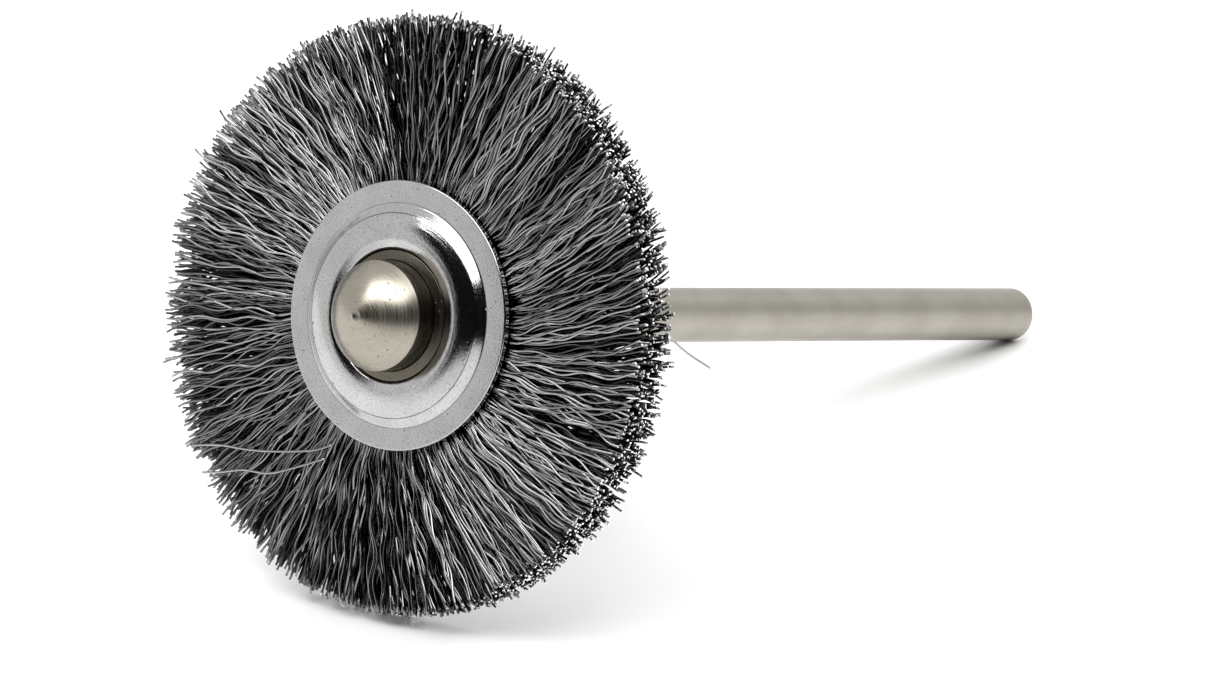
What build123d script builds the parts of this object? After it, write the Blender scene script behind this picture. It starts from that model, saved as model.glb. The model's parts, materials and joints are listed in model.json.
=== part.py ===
"""Miniature wheel brush of crimped steel wire, mounted on a shank for a rotary tool.

Every piece is first drawn about the brush's own axis: local X runs along the axis from the
front towards the tail, X = 0 is the front face of the front plate's flat rim, and local Z is up.
Then all the pieces are put down together as the brush lies on a table: the wheel stands on its
rim, the shank slopes down to the table behind it, and the origin is on the table, under the
middle of the brush's outline.
"""
from build123d import *
import math
import os

# Shank and hub pin, mm
SHANK_RADIUS = 1.175            # 3/32 inch collet size
SHANK_TAIL = 45.9               # where the shank ends, behind the front plate
SPIGOT_RADIUS = 0.95            # thinner front end of the shank, pressed into the hub pin
SPIGOT_FRONT = -0.6             # bottom of the hub pin's blind bore
TAIL_ROUND = 0.45               # edge radius of the shank's tail
PIN_RADIUS = 2.28
PIN_SHOULDER = -1.45            # where the pin's cylinder ends and its nose starts
PIN_TIP = -2.72
NOSE_BULGE = 0.20               # how far the nose stands out from a straight cone
TIP_FLAT_RADIUS = 0.16          # small flat that the lathe leaves at the very tip
PIN_REAR = 5.6
PIN_REAR_CHAMFER = 0.4

# Stamped plates
PLATE_RADIUS = 5.55
SHEET = 0.30
FOOT_RADIUS = 4.58              # foot of the raised boss
SHOULDER_RADIUS = 4.20          # where the boss's steep foot turns into its gentle slope
SHOULDER_HEIGHT = 0.28          # heights are in front of the flat rim
SLOPE_RADIUS = 3.70             # where the gentle slope begins to fall away faster
SLOPE_HEIGHT = 0.45
CREST_RADIUS = 3.20
CREST_HEIGHT = 0.49
BROW_HEIGHT = 0.42              # inner edge of the boss, above the seat
SEAT_RADIUS = 2.72              # flat seat under the hub tube's lip
SEAT_WALL = 0.03                # how far the step up from the seat leans outwards
SEAT_HEIGHT = 0.05
BENDS = (0.03, 0.12, 1.0, 2.0, 0.5, 0.12)   # outer face: seat, brow, crest, slope, shoulder, foot
SEAT_SHIFT = 0.24               # how much further out the step stands on the inner face
TIGHTEST_BEND = 0.02            # smallest bend radius that the stamping keeps
PLATE_BORE = 2.50
EDGE_ROUND = 0.06

# Hub tube, flared over both plates
TUBE_WALL = 0.20
LIP_RADIUS = 2.70
LIP_HEIGHT = 0.45               # lip top beside the pin, in front of the flat rim
LIP_CREST = 0.04                # width of the lip's flat top
LIP_EDGE_HEIGHT = 0.35          # lip top at its outer edge

# Wires
WIRE_DIAMETER = 0.10
ARC_SHARE = 0.45                # share of a stray wire's straight run that one bend may take
FACE_RADIUS = 12.3              # from the axis to the flats of the bundles' outer ends
FACE_WIDTH = 1.9                # along the axis
BUNDLES = 24
BUNDLE_GAP_ANGLE = 0.1          # degrees left free between neighbours
BUNDLE_INNER_RADIUS = 2.6
CORE_RING_RADIUS = 3.30
CORE_RING_SECTION = 0.35        # radius of the ring's round section
CORE_RING_CLEARANCE = 0.03

MID_PLANE = SHEET + FACE_WIDTH / 2


def turned(outline):
    """A solid of revolution about local X, from a closed outline in (along, radius)."""
    return revolve(make_face(outline), axis=Axis.X, revolution_arc=360)


def mirrored(part):
    """The same shape at the other side of the wheel's middle plane."""
    return part.mirror(Plane(origin=(MID_PLANE, 0, 0), z_dir=(1, 0, 0)))


def rod(radius, front, rear):
    """Round bar about the brush's axis."""
    bar = Cylinder(radius, rear - front, align=(Align.CENTER, Align.CENTER, Align.MIN))
    return Pos(front, 0, 0) * Rot(0, 90, 0) * bar


def shank():
    """Plain ground rod with a softly rounded tail, and a thinner spigot in front."""
    body = rod(SHANK_RADIUS, PIN_REAR, SHANK_TAIL)
    tail_edge = body.edges().filter_by(GeomType.CIRCLE).sort_by(Axis.X)[-1]
    return fillet(tail_edge, TAIL_ROUND) + rod(SPIGOT_RADIUS, SPIGOT_FRONT, PIN_REAR)


def hub_pin():
    """Turned pin: domed nose in front, chamfered rear end, and a blind bore for the spigot."""
    chord = Vector(PIN_SHOULDER - PIN_TIP, PIN_RADIUS - TIP_FLAT_RADIUS)
    outward = Vector(-chord.Y, chord.X).normalized()
    middle = Vector((PIN_SHOULDER + PIN_TIP) / 2, (PIN_RADIUS + TIP_FLAT_RADIUS) / 2)
    bulge = middle + outward * NOSE_BULGE
    nose = ThreePointArc((PIN_TIP, TIP_FLAT_RADIUS), bulge, (PIN_SHOULDER, PIN_RADIUS))
    rest = Polyline(
        (PIN_SHOULDER, PIN_RADIUS),
        (PIN_REAR - PIN_REAR_CHAMFER, PIN_RADIUS),
        (PIN_REAR, PIN_RADIUS - PIN_REAR_CHAMFER),
        (PIN_REAR, SPIGOT_RADIUS),
        (SPIGOT_FRONT, SPIGOT_RADIUS),
        (SPIGOT_FRONT, 0),
        (PIN_TIP, 0),
        (PIN_TIP, TIP_FLAT_RADIUS))
    return turned([nose, rest])


def plate_line(lift):
    """One face of a plate from its bore to its rim edge, moved along the axis by lift.

    On the face next to the wires, bends towards the wires are wider by the sheet's thickness
    and bends away from them are tighter by as much.
    """
    seat, brow, crest, slope, shoulder, foot = BENDS
    shift = SEAT_SHIFT * lift / SHEET
    seat_radius = SEAT_RADIUS + shift
    return FilletPolyline(
        (lift - SEAT_HEIGHT, PLATE_BORE),
        (lift - SEAT_HEIGHT, seat_radius),
        (lift - BROW_HEIGHT, seat_radius + SEAT_WALL),
        (lift - CREST_HEIGHT, CREST_RADIUS + shift / 2),
        (lift - SLOPE_HEIGHT, SLOPE_RADIUS),
        (lift - SHOULDER_HEIGHT, SHOULDER_RADIUS),
        (lift, FOOT_RADIUS),
        (lift, PLATE_RADIUS),
        radius=[seat + lift / 2, max(brow - lift, TIGHTEST_BEND), crest - lift, slope - lift,
                shoulder - lift, foot + lift])


def plate():
    """Stamped front plate: flat rim, raised boss, and a sunk seat round the bore."""
    outer = plate_line(0)
    inner = plate_line(SHEET)
    bore = Line(outer @ 0, inner @ 0)
    edge = Line(outer @ 1, inner @ 1)
    body = turned([outer, inner, bore, edge])
    rim_edges = [e for e in body.edges().filter_by(GeomType.CIRCLE)
                 if abs(e.radius - PLATE_RADIUS) < 0.001]
    return fillet(rim_edges, EDGE_ROUND)


def hub_tube():
    """Thin tube through both plates, with its two ends flared over them."""
    outer_radius = PIN_RADIUS + TUBE_WALL
    seat = -SEAT_HEIGHT
    half = Polyline(
        (MID_PLANE, PIN_RADIUS),
        (-LIP_HEIGHT, PIN_RADIUS),
        (-LIP_HEIGHT, PIN_RADIUS + LIP_CREST),
        (-LIP_EDGE_HEIGHT, LIP_RADIUS),
        (seat, LIP_RADIUS),
        (seat, outer_radius),
        (MID_PLANE, outer_radius),
        (MID_PLANE, PIN_RADIUS))
    front_half = turned(half)
    return front_half + mirrored(front_half)


def core_ring():
    """Steel ring that every wire is folded over."""
    centre = Pos(MID_PLANE, 0, 0) * Rot(0, 90, 0)
    return centre * Torus(CORE_RING_RADIUS, CORE_RING_SECTION)


def wire_bundle(index):
    """One sector of the wheel: wires folded over the ring and fanning out to a flat end."""
    half_angle = 180 / BUNDLES - BUNDLE_GAP_ANGLE / 2
    slope = math.tan(math.radians(half_angle))
    outline = Polyline(
        (BUNDLE_INNER_RADIUS, -BUNDLE_INNER_RADIUS * slope),
        (FACE_RADIUS, -FACE_RADIUS * slope),
        (FACE_RADIUS, FACE_RADIUS * slope),
        (BUNDLE_INNER_RADIUS, BUNDLE_INNER_RADIUS * slope),
        close=True)
    wedge = extrude(Plane.YZ * make_face(outline), FACE_WIDTH)
    wedge = Pos(SHEET, 0, 0) * wedge
    turn = -90 + index * 360 / BUNDLES
    wedge = Rot(turn, 0, 0) * wedge
    pocket = Pos(MID_PLANE, 0, 0) * Rot(0, 90, 0) * Torus(
        CORE_RING_RADIUS, CORE_RING_SECTION + CORE_RING_CLEARANCE)
    return wedge - pocket


def on_face(radius, angle, along):
    """A point given by its distance from the axis and its angle round it, seen from the front.

    The angle counts from the side that faces -Y, anticlockwise for a viewer in front.
    """
    turn = math.radians(angle)
    return (along, -radius * math.cos(turn), radius * math.sin(turn))


# Single wires that have left the wheel, each a route of (radius, angle, along)
STRAY_WIRES = {
    "stray_wire_1": [
        (6.42, 247.2, 0.24), (7.16, 242.0, 0.10), (8.46, 232.6, 0.00), (9.59, 226.4, 0.02),
        (10.75, 221.0, 0.02), (12.20, 217.2, 0.10)],
    "stray_wire_2": [
        (7.09, 247.3, 0.24), (8.39, 239.8, 0.06), (9.38, 235.1, -0.02), (10.28, 229.5, 0.03),
        (11.36, 225.9, 0.02), (12.20, 223.3, 0.08)],
    "stray_wire_3": [
        (10.72, 9.6, 2.28), (11.57, 8.7, 2.50), (11.68, 5.7, 3.30), (11.80, 3.1, 4.30),
        (12.10, 0.7, 5.40)],
}


def stray_wire(route):
    """Thin round wire along straight runs joined by arcs as large as the runs allow."""
    points = [Vector(*on_face(*place)) for place in route]
    radii = []
    for before, here, after in zip(points, points[1:], points[2:]):
        turn = math.radians((here - before).get_angle(after - here))
        run = min((here - before).length, (after - here).length)
        radii.append(ARC_SHARE * run / math.tan(turn / 2))
    path = FilletPolyline(*points, radius=radii)
    start = Plane(origin=path @ 0, z_dir=path % 0)
    return sweep(start * Circle(WIRE_DIAMETER / 2), path=path)


def resting_place():
    """How the brush lies: tilted until the wheel's rear edge and the tail touch the table."""
    along = SHANK_TAIL - TAIL_ROUND - (SHEET + FACE_WIDTH)
    drop = FACE_RADIUS - SHANK_RADIUS + TAIL_ROUND
    tilt = math.atan2(drop, along) - math.asin(TAIL_ROUND / math.hypot(drop, along))
    contact = SHEET + FACE_WIDTH
    lift = contact * math.sin(tilt) + FACE_RADIUS * math.cos(tilt)
    return math.degrees(tilt), lift


def all_parts():
    """Every piece about the brush's own axis, by name."""
    front = plate()
    parts = {
        "shank": shank(),
        "hub_pin": hub_pin(),
        "hub_tube": hub_tube(),
        "front_plate": front,
        "rear_plate": mirrored(front),
        "core_ring": core_ring(),
    }
    for index in range(BUNDLES):
        parts[f"wire_bundle_{index + 1:02d}"] = wire_bundle(index)
    for name, route in STRAY_WIRES.items():
        parts[name] = stray_wire(route)
    return parts


def main():
    os.makedirs("parts", exist_ok=True)
    tilt, lift = resting_place()
    tilted = {name: Pos(0, 0, lift) * Rot(0, tilt, 0) * part for name, part in all_parts().items()}
    boxes = [part.bounding_box() for part in tilted.values()]
    middle_x = (min(box.min.X for box in boxes) + max(box.max.X for box in boxes)) / 2
    middle_y = (min(box.min.Y for box in boxes) + max(box.max.Y for box in boxes)) / 2
    for name, part in tilted.items():
        export_step(Pos(-middle_x, -middle_y, 0) * part, f"parts/{name}.step")
    print(f"tilt {tilt:.4f} degrees, brush axis {lift:.4f} up at the front plate")
    print(f"front plate centre at X {-middle_x:.4f}, Y {-middle_y:.4f}")


main()
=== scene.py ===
"""Looks of a shank-mounted crimped wire wheel brush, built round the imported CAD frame.

Sizes are in millimetres about the brush's own axis, as in the design: X along the axis towards
the tail with 0 at the front plate's rim, Y level, Z up before the brush is laid down. Every mesh
is written in metres in that frame, and its object carries the resting tilt.
"""
import json
import math

import bpy
import numpy as np
from mathutils import Matrix, Vector


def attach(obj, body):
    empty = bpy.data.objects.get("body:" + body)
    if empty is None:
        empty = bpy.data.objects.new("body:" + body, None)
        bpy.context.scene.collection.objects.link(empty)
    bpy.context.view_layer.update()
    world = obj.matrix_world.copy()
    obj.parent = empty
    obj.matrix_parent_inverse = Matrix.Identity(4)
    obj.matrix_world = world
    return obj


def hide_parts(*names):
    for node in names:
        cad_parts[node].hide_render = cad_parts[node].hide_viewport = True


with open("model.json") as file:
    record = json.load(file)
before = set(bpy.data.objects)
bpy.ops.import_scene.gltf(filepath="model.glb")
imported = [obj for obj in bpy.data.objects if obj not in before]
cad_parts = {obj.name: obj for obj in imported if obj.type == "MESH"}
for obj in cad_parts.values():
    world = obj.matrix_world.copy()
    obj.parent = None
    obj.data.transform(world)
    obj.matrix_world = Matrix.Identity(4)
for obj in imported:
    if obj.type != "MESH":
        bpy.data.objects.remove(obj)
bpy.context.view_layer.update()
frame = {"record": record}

MM = 0.001

# ---------------------------------------------------------------- design sizes, mm
SHANK_RADIUS = 1.175
SHANK_TAIL = 45.9
TAIL_ROUND = 0.45
SPIGOT_RADIUS = 0.95
SPIGOT_FRONT = -0.6
PIN_RADIUS = 2.28
PIN_SHOULDER = -1.45
PIN_TIP = -2.72
PIN_REAR = 5.6
PIN_REAR_CHAMFER = 0.4
PIN_EDGE_ROUND = 0.035
NOSE_BULGE = 0.20
TIP_DIMPLE_RADIUS = 0.18
TIP_DIMPLE_DEPTH = 0.04
PLATE_RADIUS = 5.55
SHEET = 0.30
FOOT_RADIUS = 4.58
SHOULDER_RADIUS = 4.20
SHOULDER_HEIGHT = 0.28
SLOPE_RADIUS = 3.70
SLOPE_HEIGHT = 0.45
CREST_RADIUS = 3.20
CREST_HEIGHT = 0.49
BROW_HEIGHT = 0.42
SEAT_RADIUS = 2.72
SEAT_WALL = 0.03
SEAT_HEIGHT = 0.05
BENDS = (0.03, 0.12, 1.0, 2.0, 0.5, 0.12)   # outer face: seat, brow, crest, slope, shoulder, foot
TIGHTEST_BEND = 0.02
SEAT_SHIFT = 0.24
PLATE_BORE = 2.50
EDGE_ROUND = 0.06
TUBE_WALL = 0.20
LIP_RADIUS = 2.70
LIP_HEIGHT = 0.45
LIP_CREST = 0.04
LIP_EDGE_HEIGHT = 0.35
LIP_MOUTH = 0.012               # how far the lip's rounded mouth stands off the pin
LIP_ROUND = 0.03
LIP_CORNER_ROUND = 0.02
FACE_WIDTH = 1.9
MID_PLANE = SHEET + FACE_WIDTH / 2
RING_RADIUS = 3.30
RING_SECTION = 0.35
WIRE_RADIUS = 0.05
BUNDLES = 24

# ---------------------------------------------------------------- the brush's own frame
shank_mount = next(m for m in frame["record"]["mounts"] if m["name"] == "shank")
AXIS = Vector(shank_mount["axis"])
LEVEL = Vector((0, 1, 0))
UP = AXIS.cross(LEVEL)
SHANK_MIDDLE = (PIN_REAR + SHANK_TAIL - TAIL_ROUND) / 2
FRONT = Vector(shank_mount["pos_m"]) - AXIS * SHANK_MIDDLE * MM
REST = Matrix.Translation(FRONT) @ Matrix((AXIS, LEVEL, UP)).transposed().to_4x4()


def piece(name, mesh, materials, node):
    """Links a finished mesh as a piece that stands for a CAD node."""
    for made in materials:
        mesh.materials.append(made)
    body = bpy.data.objects.new(name, mesh)
    bpy.context.scene.collection.objects.link(body)
    body.matrix_world = REST
    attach(body, "root")
    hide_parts(node)


def quad_mesh(name, points, quads, slots=None):
    """A smooth mesh from an array of points in mm and an array of four-cornered faces."""
    mesh = bpy.data.meshes.new(name)
    mesh.vertices.add(len(points))
    mesh.vertices.foreach_set("co", (np.asarray(points) * MM).astype(np.float32).ravel())
    mesh.loops.add(quads.size)
    mesh.loops.foreach_set("vertex_index", quads.astype(np.int32).ravel())
    mesh.polygons.add(len(quads))
    mesh.polygons.foreach_set("loop_start", np.arange(0, quads.size, 4, dtype=np.int32))
    mesh.polygons.foreach_set("use_smooth", np.full(len(quads), True))
    if slots is not None:
        mesh.polygons.foreach_set("material_index", slots.astype(np.int32))
    mesh.update(calc_edges=True)
    mesh.validate()
    return mesh


# ---------------------------------------------------------------- turned parts
SHARP_EDGE = 50                 # degrees


def rounded(corners, steps=8):
    """An outline of (along, radius) points, with an arc at each corner given a bend radius."""
    outline = []
    count = len(corners)
    for index, (along, radius, bend) in enumerate(corners):
        here = Vector((along, radius))
        if bend <= 0:
            outline.append(here)
            continue
        before = Vector(corners[index - 1][:2])
        after = Vector(corners[(index + 1) % count][:2])
        back = (before - here).normalized()
        ahead = (after - here).normalized()
        half = back.angle(ahead) / 2
        reach = bend / math.tan(half)
        centre = here + (back + ahead).normalized() * bend / math.sin(half)
        first = here + back * reach - centre
        last = here + ahead * reach - centre
        sweep = math.atan2(first.x * last.y - first.y * last.x, first.dot(last))
        for step in range(steps + 1):
            turn = sweep * step / steps
            outline.append(centre + Vector((
                first.x * math.cos(turn) - first.y * math.sin(turn),
                first.x * math.sin(turn) + first.y * math.cos(turn))))
    return outline


def lathe(name, outline, segments=288):
    """Closed solid of revolution from a closed outline; points on the axis stay single.

    Edges sharper than SHARP_EDGE degrees stay crisp.
    """
    angles = np.arange(segments) * 2 * math.pi / segments
    points, rings = [], []
    for along, radius in outline:
        if radius == 0:
            rings.append([len(points)] * segments)
            points.append((along, 0, 0))
        else:
            rings.append(list(range(len(points), len(points) + segments)))
            points += [(along, radius * math.cos(a), radius * math.sin(a)) for a in angles]
    faces = []
    for here, after in zip(rings, rings[1:] + rings[:1]):
        for k in range(segments):
            n = (k + 1) % segments
            corners = [here[k], here[n], after[n], after[k]]
            corners = list(dict.fromkeys(corners))
            if len(corners) > 2:
                faces.append(corners)
    mesh = bpy.data.meshes.new(name)
    mesh.from_pydata([Vector(p) * MM for p in points], [], faces)
    mesh.update()
    area = sum(a.x * b.y - b.x * a.y for a, b in zip(outline, outline[1:] + outline[:1]))
    if area < 0:
        mesh.flip_normals()
    mesh.polygons.foreach_set("use_smooth", [True] * len(mesh.polygons))
    mesh.set_sharp_from_angle(angle=math.radians(SHARP_EDGE))
    return mesh


def nose_outline(steps=40, dimple_steps=6):
    """The pin's nose: a dimple at its tip, then one curve out to its shoulder."""
    line = []
    for step in range(dimple_steps + 1):
        share = step / dimple_steps
        line.append((PIN_TIP + TIP_DIMPLE_DEPTH * (1 - share ** 2), TIP_DIMPLE_RADIUS * share, 0))
    start = Vector(line[-1][:2])
    end = Vector((PIN_SHOULDER - PIN_EDGE_ROUND, PIN_RADIUS - PIN_EDGE_ROUND))
    outward = Vector((start.y - end.y, end.x - start.x)).normalized()
    for step in range(1, steps):
        share = step / steps
        place = start.lerp(end, share) + outward * NOSE_BULGE * 4 * share * (1 - share)
        line.append((place.x, place.y, 0))
    return line + [(PIN_SHOULDER, PIN_RADIUS, PIN_EDGE_ROUND)]


def plate_outline(mirror):
    """Closed section of a stamped plate; the rear plate is the front one turned about."""
    seat, brow, crest, slope, shoulder, foot = BENDS

    def face(lift):
        shift = SEAT_SHIFT * lift / SHEET
        seat_radius = SEAT_RADIUS + shift
        return [
            (lift - SEAT_HEIGHT, PLATE_BORE, 0),
            (lift - SEAT_HEIGHT, seat_radius, seat + lift / 2),
            (lift - BROW_HEIGHT, seat_radius + SEAT_WALL, max(brow - lift, TIGHTEST_BEND)),
            (lift - CREST_HEIGHT, CREST_RADIUS + shift / 2, crest - lift),
            (lift - SLOPE_HEIGHT, SLOPE_RADIUS, slope - lift),
            (lift - SHOULDER_HEIGHT, SHOULDER_RADIUS, shoulder - lift),
            (lift, FOOT_RADIUS, foot + lift),
            (lift, PLATE_RADIUS, EDGE_ROUND)]
    corners = face(0) + face(SHEET)[::-1]
    if mirror:
        corners = [(2 * MID_PLANE - along, radius, bend) for along, radius, bend in corners]
    return rounded(corners, steps=10)


def tube_outline():
    """Closed section of the thin hub tube with both ends flared over the plates."""
    outer = PIN_RADIUS + TUBE_WALL
    front = [
        (-LIP_HEIGHT, PIN_RADIUS + LIP_MOUTH, LIP_CORNER_ROUND),
        (-LIP_HEIGHT, PIN_RADIUS + LIP_CREST, LIP_ROUND),
        (-LIP_EDGE_HEIGHT, LIP_RADIUS, LIP_ROUND),
        (-SEAT_HEIGHT, LIP_RADIUS, LIP_CORNER_ROUND),
        (-SEAT_HEIGHT, outer, 0)]
    rear = [(2 * MID_PLANE - along, radius, bend) for along, radius, bend in front[::-1]]
    return rounded(front + rear, steps=6)


def pin_outline():
    """Closed section of the hub pin, with the blind bore at its rear."""
    return rounded(nose_outline() + [
        (PIN_REAR - PIN_REAR_CHAMFER, PIN_RADIUS, 0),
        (PIN_REAR, PIN_RADIUS - PIN_REAR_CHAMFER, 0),
        (PIN_REAR, SPIGOT_RADIUS, 0),
        (SPIGOT_FRONT, SPIGOT_RADIUS, 0),
        (SPIGOT_FRONT, 0, 0)], steps=12)


def shank_outline():
    """Closed section of the shank: spigot, shoulder, rod and rounded tail."""
    corners = [
        (SPIGOT_FRONT, 0, 0),
        (SPIGOT_FRONT, SPIGOT_RADIUS, 0),
        (PIN_REAR, SPIGOT_RADIUS, 0),
        (PIN_REAR, SHANK_RADIUS, 0),
        (SHANK_TAIL, SHANK_RADIUS, TAIL_ROUND),
        (SHANK_TAIL, 0, 0)]
    return rounded(corners, steps=14)


def ring_mesh(name, segments=160, sides=20):
    """The core ring's torus."""
    around = np.arange(segments) * 2 * math.pi / segments
    across = np.arange(sides) * 2 * math.pi / sides
    turn, tube = np.meshgrid(around, across, indexing="ij")
    reach = RING_RADIUS + RING_SECTION * np.cos(tube)
    along = MID_PLANE + RING_SECTION * np.sin(tube)
    points = np.stack([along, reach * np.cos(turn), reach * np.sin(turn)], -1).reshape(-1, 3)
    k, j = np.meshgrid(np.arange(segments), np.arange(sides), indexing="ij")
    k2, j2 = (k + 1) % segments, (j + 1) % sides
    quads = np.stack([k * sides + j, k * sides + j2, k2 * sides + j2, k2 * sides + j], -1)
    return quad_mesh(name, points, quads.reshape(-1, 4))


# ---------------------------------------------------------------- wires
WIRES = 3840
WIRE_SIDES = 6
WIRE_STEPS = 30
WIRE_SHADE_TONES = (0.02, 0.05, 0.11, 0.21, 0.35)     # painted shade: darkest in the middle of the wheel, lightest at its faces
SHADE_TONE_STEPS, TONE_SCATTER = 2.6, 2.2
NEAR_FACE = (0.45, 0.85)        # shares of the half width over which a wire comes to lie at a face
GOLDEN = 0.6180339887           # spreads neighbouring wires over the width of the wheel
LAYER_SCATTER = 0.08
ROOT_RADIUS = 3.80              # the wires leave the core ring here, between the plates
FREE_FROM, FREE_BY = 4.6, 7.4   # a wire takes up its lean between these radii
TIP_RADIUS = 12.25
TIP_DRIFT, TIP_SCATTER = 0.03, 0.08
SHORTEST_TIP, LONGEST_TIP = 11.7, 12.92
SPIKE_SHARE = 0.03              # share of the wires that stand out past the others
SPIKE_LENGTHS = (0.1, 0.55)
SPIKE_LOWEST = -0.6             # sine of the lowest angle at which a wire stands out
CRIMP_LENGTH, CRIMP_SCATTER = 2.45, 0.05
CRIMP_SWING, SWING_SCATTER = 0.105, 0.25
SWING_LIMITS = (0.04, 0.16)
CALM_SWING = 0.25               # share of the swing that is left at the root
FULL_SWING_BY = 6.2
LEVEL_FREE = (5.2, 6.4)         # past these radii a wire may leave the gap between the plates
PHASE_DRIFT, PHASE_SCATTER = 2.2, 0.45
PLANE_DRIFT, PLANE_SCATTER = 0.7, 0.4
FAN_SLOPE, FAN_DRIFT, FAN_SCATTER = 0.10, 0.05, 0.05
BOW_SCATTER = 0.012
LEAN_DRIFT, LEAN_SCATTER = 1.7, 2.6     # degrees
LOOSE_SHARE, LOOSE_LEAN = 0.07, 7       # some wires lean further, by degrees
DEEP_STRAY = 0.3                # share of its stray lean that a wire in the middle keeps
CUT_SCATTER = 0.35              # steepness of the sheared ends
TABLE_BOW = 0.55                # how far a wire pressed on the table bows out to its side
# How far the wires lean from radial, in degrees, at angles round the wheel seen from in front
LEANS = [(-100, 8), (-63, 16), (-30, 12), (-8, 9), (13, 14), (45, 5), (74, -5), (92, 3),
         (108, 11), (135, 8), (180, 3), (225, 0)]
rng = np.random.default_rng(20)


def periodic_field(low, high, along_rate, waves=14):
    """A smooth random field over the angle round the wheel and the place along the axis."""
    rate = rng.integers(low, high, waves)
    slant = rng.normal(0, along_rate, waves)
    shift = rng.uniform(0, 2 * math.pi, waves)

    def value(angle, along):
        waves_here = np.cos(rate * angle[:, None] + slant * along[:, None] + shift)
        return waves_here.sum(1) * math.sqrt(2 / waves)
    return value


def lean_at(angle):
    """The lean that belongs to an angle round the wheel, smoothly joined between the list's."""
    knots = np.radians([a for a, _ in LEANS])
    leans = np.array([lean for _, lean in LEANS], float)
    knots = np.append(knots, knots[0] + 2 * math.pi)
    leans = np.append(leans, leans[0])
    inside = (angle - knots[0]) % (2 * math.pi) + knots[0]
    index = np.clip(np.searchsorted(knots, inside, side="right") - 1, 0, len(knots) - 2)
    share = smooth_step(inside, knots[index], knots[index + 1])
    return leans[index] + (leans[index + 1] - leans[index]) * share


def smooth_step(value, low, high):
    """0 below low, 1 above high, and a smooth rise between them."""
    share = np.clip((value - low) / (high - low), 0, 1)
    return share * share * (3 - 2 * share)


def wire_centrelines():
    """Every wire's line, its angle at the root, and how near it lies to the wheel's faces.

    The lines are an array of (wire, step, xyz), and the nearness runs from 0 in the middle to 1.
    """
    order = np.arange(WIRES)
    angle = (order + rng.uniform(0, 1, WIRES)) * 2 * math.pi / WIRES
    layer = (order * GOLDEN + rng.uniform(-LAYER_SCATTER, LAYER_SCATTER, WIRES)) % 1
    along = SHEET + WIRE_RADIUS + layer * (FACE_WIDTH - 2 * WIRE_RADIUS)
    lean_field = periodic_field(14, 70, 1.6)
    phase_field = periodic_field(6, 34, 1.0)
    plane_field = periodic_field(10, 60, 2.0)
    length_field = periodic_field(10, 60, 1.0)
    fan_field = periodic_field(12, 60, 1.2)

    surface = smooth_step(np.abs(2 * layer - 1), *NEAR_FACE)
    stray = LEAN_DRIFT * lean_field(angle, along) + rng.normal(0, LEAN_SCATTER, WIRES)
    loose = rng.random(WIRES) < LOOSE_SHARE
    stray = stray + loose * rng.normal(0, LOOSE_LEAN, WIRES)
    lean = lean_at(angle) + stray * (DEEP_STRAY + (1 - DEEP_STRAY) * surface)
    tip = TIP_RADIUS + TIP_DRIFT * length_field(angle, along) + rng.normal(0, TIP_SCATTER, WIRES)
    spike = (rng.random(WIRES) < SPIKE_SHARE) & (np.sin(angle) > SPIKE_LOWEST)
    tip = np.clip(tip + spike * rng.uniform(*SPIKE_LENGTHS, WIRES), SHORTEST_TIP, LONGEST_TIP)
    crimp = CRIMP_LENGTH * (1 + rng.normal(0, CRIMP_SCATTER, WIRES))
    swing = np.clip(CRIMP_SWING * (1 + rng.normal(0, SWING_SCATTER, WIRES)), *SWING_LIMITS)
    phase = PHASE_DRIFT * phase_field(angle, along) + rng.normal(0, PHASE_SCATTER, WIRES)
    plane = PLANE_DRIFT * plane_field(angle, along) + rng.normal(0, PLANE_SCATTER, WIRES)
    fan = (FAN_SLOPE * (along - MID_PLANE) + FAN_DRIFT * fan_field(angle, along)
           + rng.normal(0, FAN_SCATTER, WIRES))
    bow = rng.normal(0, BOW_SCATTER, WIRES)

    share = np.linspace(0, 1, WIRE_STEPS + 1)[None, :]
    reach = ROOT_RADIUS + (tip - ROOT_RADIUS)[:, None] * share
    free = smooth_step(reach, FREE_FROM, FREE_BY)
    slope = np.tan(np.radians(lean))[:, None] * free / reach
    turn = np.cumsum(slope, 1) * ((tip - ROOT_RADIUS) / WIRE_STEPS)[:, None]
    out = (reach - PLATE_RADIUS) / (TIP_RADIUS - PLATE_RADIUS)
    out = np.clip(out, 0, None)
    theta = angle[:, None] + turn + bow[:, None] * np.sin(out * math.pi)
    level = along[:, None] + fan[:, None] * out * (1 + out)

    wave = np.sin(2 * math.pi * reach / crimp[:, None] + phase[:, None])
    full = smooth_step(reach, FREE_FROM, FULL_SWING_BY)
    wave = wave * swing[:, None] * (CALM_SWING + (1 - CALM_SWING) * full)
    theta = theta + wave * np.cos(plane)[:, None] / reach
    let_go = smooth_step(reach, *LEVEL_FREE)
    level = level + wave * np.sin(plane)[:, None] * let_go
    low, high = SHEET + WIRE_RADIUS, SHEET + FACE_WIDTH - WIRE_RADIUS
    held = np.clip(level, low, high)
    level = held + (level - held) * let_go

    lines = np.stack([level, -reach * np.cos(theta), reach * np.sin(theta)], -1)
    return lines, angle, surface


def press_on_table(lines):
    """Lifts the wires that would reach under the table, and bows them out to the sides."""
    tilt_up = np.array([AXIS.z, LEVEL.z, UP.z])
    floor = -FRONT.z / MM + WIRE_RADIUS
    height = lines @ tilt_up - floor
    depth = np.clip(-height[:, -1], 0, None)
    share = np.linspace(0, 1, lines.shape[1])[None, :]
    lift = depth[:, None] * share ** 2
    side = np.sign(lines[:, -1, 1])[:, None]
    bow = TABLE_BOW * np.sqrt(depth)[:, None] * side * (share ** 1.5) * (1.6 - share)
    moved = lines + lift[..., None] * tilt_up
    moved[..., 1] += bow
    under = np.clip(-(moved @ tilt_up - floor), 0, None)
    return moved + under[..., None] * tilt_up


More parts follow.
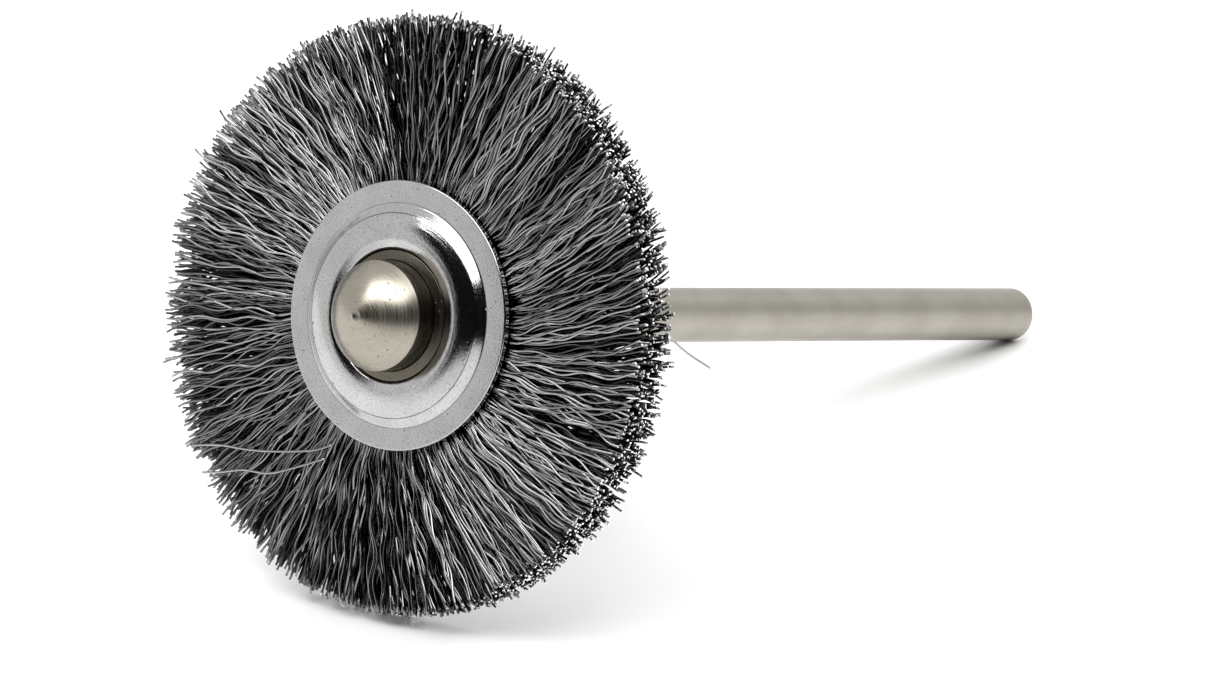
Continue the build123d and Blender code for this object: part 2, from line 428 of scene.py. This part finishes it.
def tubes(name, lines, cut_tilt, shade_tones):
    """One mesh of round wires along the centrelines, each closed by a slanted cut at its end.

    Each wire takes the material slot of its tone, darker as painted shade for wires deep in the
    wheel, and every cut takes the last slot.
    """
    count, steps, _ = lines.shape
    tangent = np.gradient(lines, axis=1)
    tangent /= np.linalg.norm(tangent, axis=-1, keepdims=True)
    reference = np.array([1.0, 0.0, 0.0])
    first = reference - tangent * (tangent @ reference)[..., None]
    first /= np.linalg.norm(first, axis=-1, keepdims=True)
    second = np.cross(tangent, first)
    around = (np.arange(WIRE_SIDES) + 0.5) * 2 * math.pi / WIRE_SIDES
    ring = (first[:, :, None, :] * np.cos(around)[None, None, :, None]
            + second[:, :, None, :] * np.sin(around)[None, None, :, None])
    points = lines[:, :, None, :] + WIRE_RADIUS * ring
    slant = np.cos(around[None, :] - cut_tilt[:, :1]) * WIRE_RADIUS * cut_tilt[:, 1:]
    points[:, -1] += tangent[:, -1, None, :] * slant[..., None]
    k, j = np.meshgrid(np.arange(steps - 1), np.arange(WIRE_SIDES), indexing="ij")
    j2 = (j + 1) % WIRE_SIDES
    side = np.stack([k * WIRE_SIDES + j, k * WIRE_SIDES + j2,
                     (k + 1) * WIRE_SIDES + j2, (k + 1) * WIRE_SIDES + j], -1).reshape(-1, 4)
    last = (steps - 1) * WIRE_SIDES
    cut = np.array([[0, 1, 2, 3], [0, 3, 4, 5]]) + last
    root = np.array([[3, 2, 1, 0], [5, 4, 3, 0]])
    faces = np.concatenate([side, root, cut])
    is_cut = np.arange(len(faces)) >= len(side) + len(root)
    start = (np.arange(count) * steps * WIRE_SIDES)[:, None, None]
    faces = (faces[None] + start).reshape(-1, 4)
    slots = np.where(is_cut[None, :], len(WIRE_SHADE_TONES), shade_tones[:, None]).ravel()
    mesh = quad_mesh(name, points.reshape(-1, 3), faces, slots=slots)
    mesh.polygons.foreach_set("use_smooth", np.tile(~is_cut, count))
    return mesh


def cut_slants(count):
    """Direction and steepness of each wire's sheared end."""
    direction = rng.uniform(0, 2 * math.pi, count)
    steepness = np.abs(rng.normal(0, CUT_SCATTER, count))
    return np.stack([direction, steepness], -1)


# ---------------------------------------------------------------- single stray wires
# Routes of (distance from the axis, angle in degrees, place along the axis)
STRAY_ROUTES = {
    "stray_wire_1": [
        (6.42, 247.2, 0.24), (7.16, 242.0, 0.10), (8.46, 232.6, 0.00), (9.59, 226.4, 0.02),
        (10.75, 221.0, 0.02), (12.20, 217.2, 0.10)],
    "stray_wire_2": [
        (7.09, 247.3, 0.24), (8.39, 239.8, 0.06), (9.38, 235.1, -0.02), (10.28, 229.5, 0.03),
        (11.36, 225.9, 0.02), (12.20, 223.3, 0.08)],
    "stray_wire_3": [
        (10.72, 9.6, 2.28), (11.57, 8.7, 2.50), (11.68, 5.7, 3.30), (11.80, 3.1, 4.30),
        (12.10, 0.7, 5.40)],
}


def smooth_route(route, steps_per_run=10):
    """A smooth line through a route's points, by cubic spans that share their slopes."""
    points = []
    for radius, angle, along in route:
        turn = math.radians(angle)
        points.append((along, -radius * math.cos(turn), radius * math.sin(turn)))
    points = np.array(points)
    slopes = np.gradient(points, axis=0)
    line = [points[0]]
    for k in range(len(points) - 1):
        for step in range(1, steps_per_run + 1):
            t = step / steps_per_run
            line.append((2 * t ** 3 - 3 * t ** 2 + 1) * points[k]
                        + (t ** 3 - 2 * t ** 2 + t) * slopes[k]
                        + (3 * t ** 2 - 2 * t ** 3) * points[k + 1]
                        + (t ** 3 - t ** 2) * slopes[k + 1])
    return np.array(line)


# ---------------------------------------------------------------- materials
class Nodes:
    """Short calls for building one material's node tree, with coordinates in mm."""

    def __init__(self, name):
        self.material = bpy.data.materials.new(name)
        self.material.use_nodes = True
        self.tree = self.material.node_tree
        self.shader = self.tree.nodes["Principled BSDF"]
        place = self.tree.nodes.new("ShaderNodeTexCoord").outputs["Object"]
        self.place = self.vector("SCALE", place, scale=1 / MM)

    def set(self, **values):
        """Sets constants on the shader's own sockets."""
        for key, value in values.items():
            self.shader.inputs[key.replace("_", " ")].default_value = value

    def link(self, source, target):
        self.tree.links.new(source, target)

    def fill(self, node, values):
        """Gives a node's inputs their values: plain numbers, or other nodes' outputs."""
        for socket, value in zip(node.inputs, values):
            if isinstance(value, (int, float)):
                socket.default_value = value
            else:
                self.link(value, socket)
        return node.outputs[0]

    def math(self, operation, *values):
        node = self.tree.nodes.new("ShaderNodeMath")
        node.operation = operation
        return self.fill(node, values)

    def vector(self, operation, first, second=None, scale=None):
        node = self.tree.nodes.new("ShaderNodeVectorMath")
        node.operation = operation
        self.link(first, node.inputs[0])
        if second is not None:
            node.inputs[1].default_value = second
        if scale is not None:
            node.inputs["Scale"].default_value = scale
        return node.outputs[0]

    def split(self, vector):
        node = self.tree.nodes.new("ShaderNodeSeparateXYZ")
        self.link(vector, node.inputs[0])
        return node.outputs

    def join(self, *values):
        return self.fill(self.tree.nodes.new("ShaderNodeCombineXYZ"), values)

    def noise(self, vector, scale, detail=3.0, roughness=0.5, stretch=None):
        """Cloudy noise from 0 to 1."""
        if stretch is not None:
            vector = self.vector("MULTIPLY", vector, stretch)
        node = self.tree.nodes.new("ShaderNodeTexNoise")
        node.inputs["Scale"].default_value = scale
        node.inputs["Detail"].default_value = detail
        node.inputs["Roughness"].default_value = roughness
        self.link(vector, node.inputs["Vector"])
        return node.outputs["Fac"]

    def cells(self, vector, scale):
        """Distance from the nearest cell's middle, and that cell's own colour."""
        node = self.tree.nodes.new("ShaderNodeTexVoronoi")
        node.inputs["Scale"].default_value = scale
        self.link(vector, node.inputs["Vector"])
        return node.outputs["Distance"], node.outputs["Color"]

    def ramp(self, value, low, high, to_low=0.0, to_high=1.0):
        """A smooth rise or fall from to_low to to_high, as the value goes from low to high."""
        node = self.tree.nodes.new("ShaderNodeMapRange")
        node.interpolation_type = "SMOOTHSTEP"
        node.inputs["From Min"].default_value = low
        node.inputs["From Max"].default_value = high
        node.inputs["To Min"].default_value = to_low
        node.inputs["To Max"].default_value = to_high
        self.link(value, node.inputs["Value"])
        return node.outputs["Result"]

    def blend(self, share, first, second):
        """The first colour where share is 0, and the second where it is 1."""
        node = self.tree.nodes.new("ShaderNodeMix")
        node.data_type = "RGBA"
        self.link(share, node.inputs["Factor"])
        for socket, value in ((node.inputs[6], first), (node.inputs[7], second)):
            if isinstance(value, tuple):
                socket.default_value = (*value, 1)
            else:
                self.link(value, socket)
        return node.outputs[2]

    def bump(self, height, distance, strength, under=None):
        """A normal from a height, over an earlier normal if one is given."""
        node = self.tree.nodes.new("ShaderNodeBump")
        node.inputs["Distance"].default_value = distance * MM
        node.inputs["Strength"].default_value = strength
        self.link(height, node.inputs["Height"])
        if under is not None:
            self.link(under, node.inputs["Normal"])
        return node.outputs["Normal"]

    def from_axis(self):
        """Distance from the brush's axis, in mm."""
        _, y, z = self.split(self.place)
        return self.math("SQRT", self.math("ADD", self.math("MULTIPLY", y, y),
                                           self.math("MULTIPLY", z, z)))

    def pits(self, scale, share, size):
        """1 inside sparse small round pits, else 0: only some of the cells hold one."""
        distance, colour = self.cells(self.place, scale)
        chosen = self.math("LESS_THAN", self.split(colour)[0], share)
        inside = self.ramp(distance, size * 0.55, size, 1.0, 0.0)
        return self.math("MULTIPLY", chosen, inside)


MOST = (0.3, 0.7)               # where most of a noise's values lie
# Thin painted shade lines round the boss, at its shoulder and foot bends: radius, half width,
# darkness
PAINTED_SHADE_LINES = [(SHOULDER_RADIUS + 0.02, 0.035, 0.75), (FOOT_RADIUS + 0.05, 0.03, 0.45)]


def plate_material():
    """Bright plated stamping: painted shade lines at the boss's foot and shoulder bends, grain and
    pits.
    """
    n = Nodes("plate_bright_metal")
    n.set(Metallic=1.0)
    radius = n.from_axis()
    _, y, z = n.split(n.place)
    cloud = n.noise(n.place, 0.8, 4)
    grain = n.noise(n.place, 9.0, 4, 0.6)
    speck = n.noise(n.place, 13.0, 3, 0.6)
    pits = n.pits(3.0, 0.22, 0.15)
    colour = n.blend(n.ramp(cloud, *MOST), (0.53, 0.53, 0.527), (0.47, 0.47, 0.465))
    colour = n.blend(n.ramp(speck, 0.50, 0.68, 0.0, 0.7), colour, (0.26, 0.26, 0.255))
    stain = n.noise(n.place, 2.6, 3, 0.6)
    colour = n.blend(n.ramp(stain, 0.60, 0.78, 0.0, 0.35), colour, (0.30, 0.295, 0.285))
    # Painted shade: thin dark lines along the boss's shoulder and foot bends, fading with the cloud
    # noise
    for shade_line_radius, half_width, depth in PAINTED_SHADE_LINES:
        away = n.math("ABSOLUTE", n.math("SUBTRACT", radius, shade_line_radius))
        line = n.ramp(away, half_width * 0.3, half_width, depth, 0.0)
        line = n.math("MULTIPLY", line, n.ramp(cloud, 0.25, 0.55, 0.5, 1.0))
        colour = n.blend(line, colour, (0.06, 0.06, 0.058))
    colour = n.blend(pits, colour, (0.20, 0.19, 0.18))
    n.link(colour, n.shader.inputs["Base Color"])
    rough = n.math("ADD", n.ramp(grain, *MOST, 0.07, 0.13), n.math("MULTIPLY", pits, 0.3))
    n.link(rough, n.shader.inputs["Roughness"])
    rings = n.noise(n.join(radius, y, z), 1.0, 3, 0.6, stretch=(18, 0.5, 0.5))
    rings = n.math("MULTIPLY", rings, n.ramp(radius, FOOT_RADIUS - 0.3, FOOT_RADIUS, 1.0, 0.1))
    normal = n.bump(rings, 0.006, 0.7)
    normal = n.bump(grain, 0.005, 0.5, normal)
    normal = n.bump(speck, 0.002, 0.6, normal)
    normal = n.bump(pits, -0.01, 0.8, normal)
    n.link(normal, n.shader.inputs["Normal"])
    return n.material


def turned_nickel(name, colour, dark, ring_scale, rough):
    """Nickel plate over turned steel: lathe rings, small pits, scratches and a dark tip."""
    n = Nodes(name)
    n.set(Metallic=1.0)
    radius = n.from_axis()
    x, y, z = n.split(n.place)
    rings = n.noise(n.join(n.math("ADD", radius, x), y, z), 1.0, 3, 0.65,
                    stretch=(ring_scale, 0.6, 0.6))
    cloud = n.noise(n.place, 1.1, 3)
    pits = n.pits(4.5, 0.28, 0.20)
    clouded = tuple(part * 0.88 for part in colour)
    tone = n.blend(n.ramp(cloud, *MOST), colour, clouded)
    tone = n.blend(n.ramp(rings, 0.55, 0.75, 0.0, 0.35), tone, dark)
    scratch = n.noise(n.place, 1.0, 2, 0.5, stretch=(1.2, 2.5, 19.0))
    tone = n.blend(n.ramp(scratch, 0.62, 0.74, 0.0, 0.45), tone, dark)
    tone = n.blend(pits, tone, dark)
    dimple = n.ramp(radius, 0.7 * TIP_DIMPLE_RADIUS, 1.2 * TIP_DIMPLE_RADIUS, 0.8, 0.0)
    tone = n.blend(dimple, tone, dark)
    n.link(tone, n.shader.inputs["Base Color"])
    n.link(n.ramp(rings, *MOST, rough * 0.75, rough * 1.3), n.shader.inputs["Roughness"])
    normal = n.bump(rings, 0.003, 0.35)
    normal = n.bump(pits, -0.012, 0.8, normal)
    n.link(normal, n.shader.inputs["Normal"])
    return n.material


def shank_material():
    """Ground rod: fine lines round it and a soft satin gloss."""
    n = Nodes("shank_ground_nickel")
    n.set(Metallic=1.0)
    lines = n.noise(n.place, 1.0, 3, 0.6, stretch=(26, 1.5, 1.5))
    cloud = n.noise(n.place, 0.5, 4)
    tone = n.blend(n.ramp(cloud, *MOST), (0.375, 0.355, 0.305), (0.33, 0.31, 0.265))
    n.link(tone, n.shader.inputs["Base Color"])
    n.link(n.ramp(lines, *MOST, 0.28, 0.42), n.shader.inputs["Roughness"])
    n.link(n.bump(lines, 0.004, 0.5), n.shader.inputs["Normal"])
    return n.material


def wire_material(name, tone):
    """Drawn carbon steel wire of one darkness, darker as painted shade deep in the wheel, with an
    uneven gloss along its length.
    """
    n = Nodes(name)
    n.set(Metallic=1.0, Base_Color=(tone, tone, tone * 0.99, 1))
    cloud = n.noise(n.place, 1.6, 3)
    n.link(n.ramp(cloud, *MOST, 0.07, 0.16), n.shader.inputs["Roughness"])
    return n.material


def cut_material():
    """Freshly sheared wire ends, brighter than the drawn sides."""
    n = Nodes("wire_cut_end")
    n.set(Metallic=1.0)
    grain = n.noise(n.place, 6.0, 2)
    tone = n.blend(n.ramp(grain, *MOST), (0.95, 0.95, 0.94), (0.84, 0.84, 0.83))
    n.link(tone, n.shader.inputs["Base Color"])
    n.link(n.ramp(grain, *MOST, 0.3, 0.5), n.shader.inputs["Roughness"])
    return n.material


def build_metalwork():
    """The turned and stamped pieces, each in place of its CAD node."""
    plate = plate_material()
    nickel = turned_nickel("pin_nickel_turned", (0.38, 0.35, 0.295), (0.14, 0.125, 0.10), 34, 0.28)
    side = turned_nickel("pin_side_browned", (0.105, 0.093, 0.075), (0.04, 0.035, 0.03), 12, 0.30)
    lip = turned_nickel("tube_lip_browned", (0.115, 0.103, 0.083), (0.05, 0.044, 0.036), 20, 0.26)
    shank = shank_material()
    ring = turned_nickel("ring_plain_steel", (0.42, 0.42, 0.42), (0.2, 0.2, 0.2), 10, 0.35)
    for name, node, mirror in (("plate_front", "front_plate", False),
                               ("plate_rear", "rear_plate", True)):
        piece(name, lathe(name, plate_outline(mirror)), [plate], node)
    pin = lathe("pin_turned", pin_outline())
    for face in pin.polygons:
        face.material_index = int(face.center.x > (PIN_SHOULDER - PIN_EDGE_ROUND / 3) * MM)
    piece("pin_turned", pin, [nickel, side], "hub_pin")
    piece("tube_flared", lathe("tube_flared", tube_outline()), [lip], "hub_tube")
    piece("shank_rod", lathe("shank_rod", shank_outline(), 128), [shank], "shank")
    piece("ring_core", ring_mesh("ring_core"), [ring], "core_ring")


def build_wires():
    """The wheel's wires, one piece for each bundle, and the stray wires."""
    materials = [wire_material(f"brush_wire_depth_shaded_steel_{index + 1}", tone)
                 for index, tone in enumerate(WIRE_SHADE_TONES)]
    materials.append(cut_material())
    lines, angle, surface = wire_centrelines()
    lines = press_on_table(lines)
    slants = cut_slants(WIRES)
    # Painted shade: wires nearer the middle of the wheel take darker steel, with some random
    # scatter
    shade_tones = np.floor(surface * SHADE_TONE_STEPS + rng.uniform(0, TONE_SCATTER, WIRES)).astype(int)
    shade_tones = np.clip(shade_tones, 0, len(WIRE_SHADE_TONES) - 1)
    sector = 2 * math.pi / BUNDLES
    bundle = (np.floor((angle + math.pi / 2 + sector / 2) / sector) % BUNDLES).astype(int)
    for index in range(BUNDLES):
        mine = bundle == index
        name = f"wires_{index + 1:02d}"
        mesh = tubes(name, lines[mine], slants[mine], shade_tones[mine])
        piece(name, mesh, materials, f"wire_bundle_{index + 1:02d}")
    bright = np.array([len(WIRE_SHADE_TONES) - 1])
    for node, route in STRAY_ROUTES.items():
        line = smooth_route(route)[None]
        name = node.replace("stray_wire", "loose_wire")
        mesh = tubes(name, line, cut_slants(1), bright)
        piece(name, mesh, materials, node)


# ---------------------------------------------------------------- camera, floor and light
VIEW_TURN = 37.56               # degrees from the brush's axis, seen from above
VIEW_DROP = 18.23               # degrees below level
VIEW_DISTANCE = 0.350           # metres, as are the distances and sizes below
LENS, SENSOR_WIDTH = 254.6, 36  # mm
AIM_RIGHT, AIM_DOWN = 0.00849, 0.00100      # from the front plate's middle
NEAREST_SEEN = 0.01
FLOOR_HALF = 12.0
FLOOR_TONE, FLOOR_ROUGHNESS = 0.98, 0.28
TENT_STRENGTH = 0.9
OPENING_TONE = 0.008            # the dark opening in the tent, where the camera stands
OPENING_BOTTOM = (-0.36, -0.26)             # from white to dark, along the camera's up
OPENING_TOP = (0.52, 0.42)
OPENING_LEFT, OPENING_RIGHT = 67, 96        # degrees that it reaches round to each side
OPENING_BLUR = 0.03
KEY_TOWARD = (-0.302, 0.669, -0.679)        # along the camera's right, up and ahead
KEY_DISTANCE, KEY_WIDTH, KEY_HEIGHT, KEY_WATTS = 0.5, 0.62, 0.24, 2.2
OVERHEAD_RIGHT, OVERHEAD_AHEAD = 0.55, 0.15
OVERHEAD_DISTANCE, OVERHEAD_SIZE, OVERHEAD_WATTS = 0.6, 0.7, 2.1


def add_camera():
    """The camera, and its own right, up and forward directions."""
    turn, drop = math.radians(VIEW_TURN), math.radians(VIEW_DROP)
    ahead = Vector((math.cos(turn) * math.cos(drop), math.sin(turn) * math.cos(drop),
                    -math.sin(drop)))
    right = Vector((math.sin(turn), -math.cos(turn), 0))
    up = right.cross(ahead)
    data = bpy.data.cameras.new("camera")
    data.lens = LENS
    data.sensor_width = SENSOR_WIDTH
    data.clip_start = NEAREST_SEEN
    camera = bpy.data.objects.new("camera", data)
    bpy.context.scene.collection.objects.link(camera)
    place = FRONT + right * AIM_RIGHT - up * AIM_DOWN - ahead * VIEW_DISTANCE
    facing = Matrix((right, up, -ahead)).transposed().to_4x4()
    camera.matrix_world = Matrix.Translation(place) @ facing
    bpy.context.scene.camera = camera
    return right, up, ahead


def add_floor():
    """Plain white table top."""
    mesh = bpy.data.meshes.new("floor")
    corners = [(x * FLOOR_HALF, y * FLOOR_HALF, 0) for x, y in ((-1, -1), (1, -1), (1, 1), (-1, 1))]
    mesh.from_pydata(corners, [], [(0, 1, 2, 3)])
    floor = bpy.data.objects.new("floor", mesh)
    bpy.context.scene.collection.objects.link(floor)
    made = bpy.data.materials.new("floor_white")
    made.use_nodes = True
    shader = made.node_tree.nodes["Principled BSDF"]
    shader.inputs["Base Color"].default_value = (FLOOR_TONE, FLOOR_TONE, FLOOR_TONE, 1)
    shader.inputs["Roughness"].default_value = FLOOR_ROUGHNESS
    mesh.materials.append(made)


def add_world(right, up, ahead):
    """A white tent of light with a dark opening in front, where the camera stands."""
    world = bpy.data.worlds.new("tent")
    bpy.context.scene.world = world
    world.use_nodes = True
    tree = world.node_tree
    tree.nodes.clear()
    place = tree.nodes.new("ShaderNodeTexCoord")

    def along(direction):
        node = tree.nodes.new("ShaderNodeVectorMath")
        node.operation = "DOT_PRODUCT"
        tree.links.new(place.outputs["Generated"], node.inputs[0])
        node.inputs[1].default_value = direction
        return node.outputs["Value"]

    def step(value, low, high):
        node = tree.nodes.new("ShaderNodeMapRange")
        node.interpolation_type = "SMOOTHSTEP"
        tree.links.new(value, node.inputs["Value"])
        node.inputs["From Min"].default_value = low
        node.inputs["From Max"].default_value = high
        return node.outputs["Result"]

    def product(first, second):
        node = tree.nodes.new("ShaderNodeMath")
        node.operation = "MULTIPLY"
        tree.links.new(first, node.inputs[0])
        tree.links.new(second, node.inputs[1])
        return node.outputs[0]

    def edge(degrees, side):
        turn = math.radians(degrees)
        return along(right * side * math.cos(turn) - ahead * math.sin(turn))

    height = along(up)
    inside = product(step(height, *OPENING_BOTTOM), step(height, *OPENING_TOP))
    inside = product(inside, step(edge(OPENING_LEFT, 1), -OPENING_BLUR, OPENING_BLUR))
    inside = product(inside, step(edge(OPENING_RIGHT, -1), -OPENING_BLUR, OPENING_BLUR))
    colour = tree.nodes.new("ShaderNodeMix")
    colour.data_type = "RGBA"
    tree.links.new(inside, colour.inputs["Factor"])
    colour.inputs[6].default_value = (1.0, 1.0, 1.0, 1)
    colour.inputs[7].default_value = (OPENING_TONE, OPENING_TONE, OPENING_TONE, 1)
    background = tree.nodes.new("ShaderNodeBackground")
    background.inputs["Strength"].default_value = TENT_STRENGTH
    tree.links.new(colour.outputs[2], background.inputs["Color"])
    output = tree.nodes.new("ShaderNodeOutputWorld")
    tree.links.new(background.outputs[0], output.inputs["Surface"])


def add_soft_box(name, toward, distance, width, height, watts):
    """One rectangular light that faces the brush."""
    data = bpy.data.lights.new(name, "AREA")
    data.shape = "RECTANGLE"
    data.size = width
    data.size_y = height
    data.energy = watts
    box = bpy.data.objects.new(name, data)
    bpy.context.scene.collection.objects.link(box)
    box.location = FRONT + toward * distance
    box.rotation_mode = "QUATERNION"
    box.rotation_quaternion = toward.to_track_quat("Z", "Y")


def add_lights(right, up, ahead):
    """A soft box above and to the left of the camera, and a wider one overhead."""
    toward = KEY_TOWARD[0] * right + KEY_TOWARD[1] * up + KEY_TOWARD[2] * ahead
    add_soft_box("key", toward.normalized(), KEY_DISTANCE, KEY_WIDTH, KEY_HEIGHT, KEY_WATTS)
    level_ahead = Vector((ahead.x, ahead.y, 0))
    toward = Vector((0, 0, 1)) + OVERHEAD_RIGHT * right + OVERHEAD_AHEAD * level_ahead
    add_soft_box("overhead", toward.normalized(), OVERHEAD_DISTANCE, OVERHEAD_SIZE, OVERHEAD_SIZE,
                 OVERHEAD_WATTS)


right, up, ahead = add_camera()
add_floor()
add_world(right, up, ahead)
add_lights(right, up, ahead)
bpy.context.scene.view_settings.view_transform = "Standard"
build_metalwork()
build_wires()
